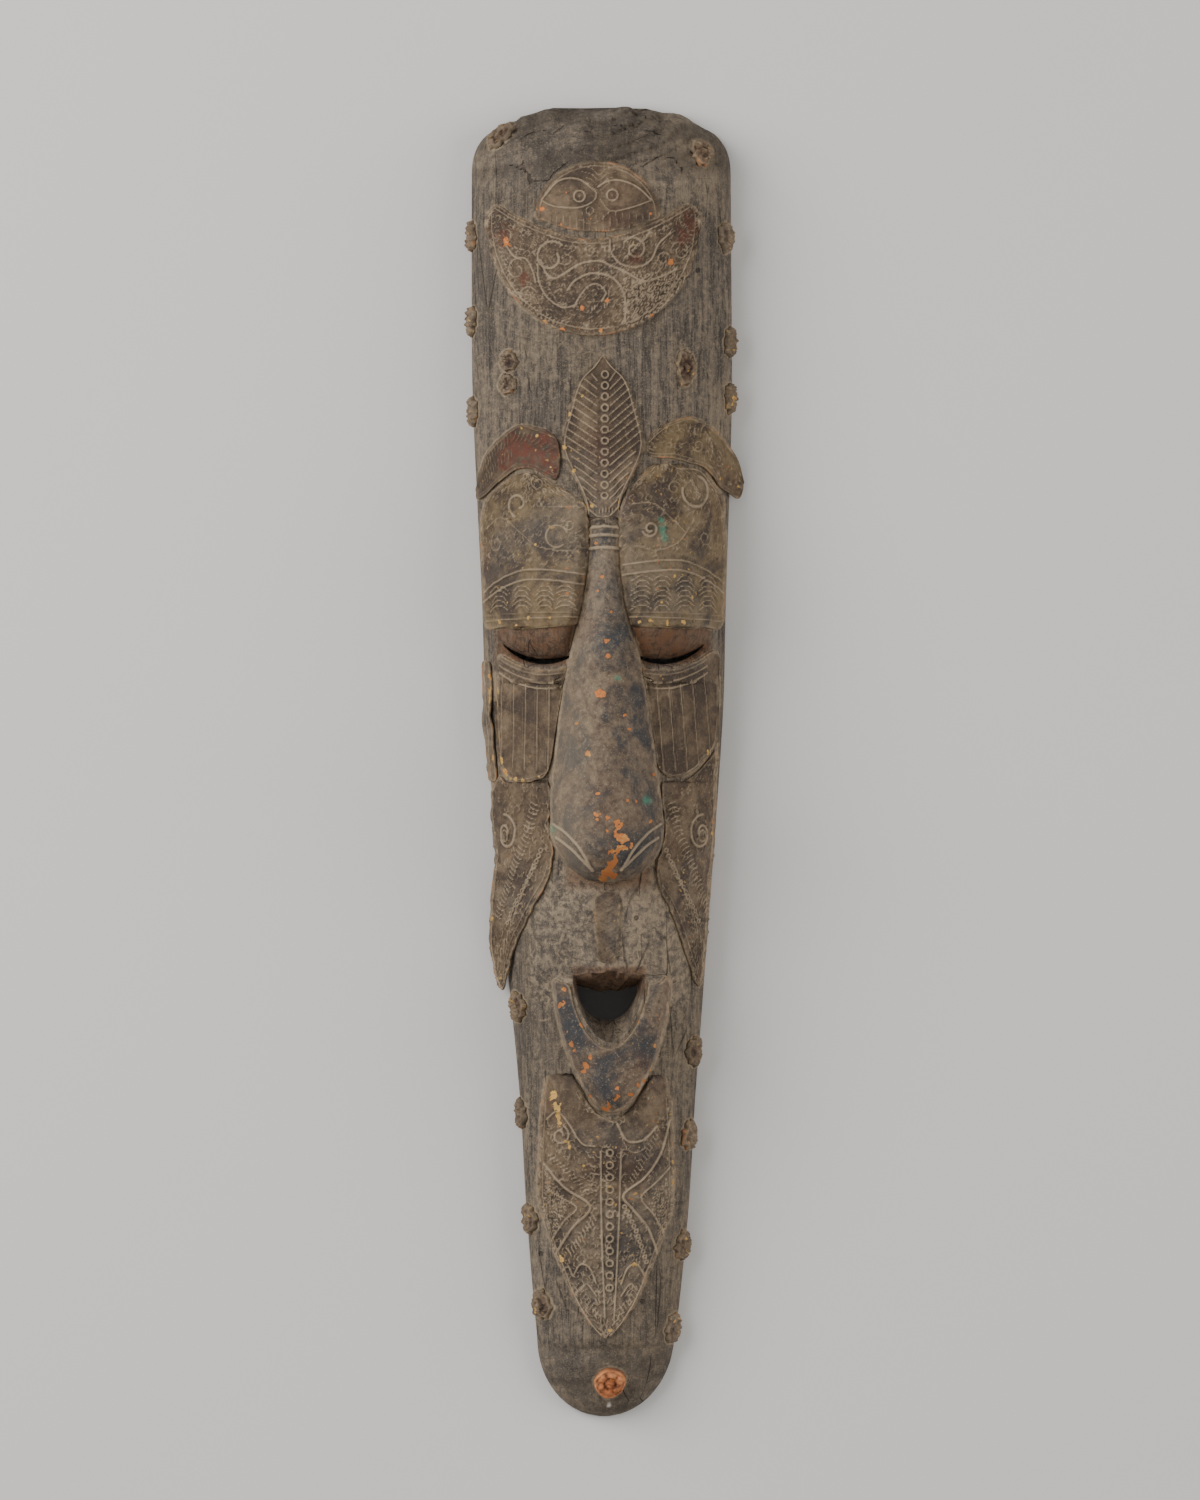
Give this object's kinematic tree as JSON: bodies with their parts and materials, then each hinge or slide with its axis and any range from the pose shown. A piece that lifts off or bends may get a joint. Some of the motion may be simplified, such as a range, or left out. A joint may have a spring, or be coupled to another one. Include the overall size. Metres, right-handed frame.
{
  "type": "carved wooden mask",
  "caption": "Long narrow carved wooden face mask, hollow behind, dressed with embossed metal plates and rosettes; it lies on its flat back rim.",
  "frame": {"origin": "centre of the mask's box, in the plane of its flat back rim", "axes": "+X to the right as one looks at the face, +Y along the mask to the crown, +Z out of the face"},
  "size_m": [0.0958, 0.46, 0.0582],
  "materials": {
    "wood": "dark weathered wood with dust in its grain",
    "brass_sheet": "embossed sheet, brown patina, dusty",
    "copper_sheet": "blackened sheet, worn to bare copper in spots",
    "bare_copper": "bare orange copper",
    "red_sheet": "embossed sheet with worn dark red paint"
  },
  "bodies": {
    "root": {"beard_plate": "brass_sheet", "brow_plate_left": "red_sheet", "brow_plate_right": "brass_sheet", "cheek_plate_left": "brass_sheet", "cheek_plate_right": "brass_sheet", "chin_disc": "bare_copper", "crescent_plate": "brass_sheet", "edge_strip_left": "brass_sheet", "eyelid_plate_left": "brass_sheet", "eyelid_plate_right": "brass_sheet", "forehead_rosette_left_1": "brass_sheet", "forehead_rosette_left_2": "brass_sheet", "forehead_rosette_right": "brass_sheet", "half_moon_plate": "brass_sheet", "leaf_plate": "brass_sheet", "lower_lip_plate": "copper_sheet", "nose_plate": "copper_sheet", "rosette_left_1": "brass_sheet", "rosette_left_2": "brass_sheet", "rosette_left_3": "brass_sheet", "rosette_left_4": "brass_sheet", "rosette_left_5": "brass_sheet", "rosette_left_6": "brass_sheet", "rosette_left_7": "brass_sheet", "rosette_left_8": "brass_sheet", "rosette_right_1": "brass_sheet", "rosette_right_2": "brass_sheet", "rosette_right_3": "brass_sheet", "rosette_right_4": "brass_sheet", "rosette_right_5": "brass_sheet", "rosette_right_6": "brass_sheet", "rosette_right_7": "brass_sheet", "rosette_right_8": "brass_sheet", "side_plate_left": "brass_sheet", "side_plate_right": "brass_sheet", "upper_lip_strip": "brass_sheet", "wooden_body": "wood"}
  },
  "joints": []
}
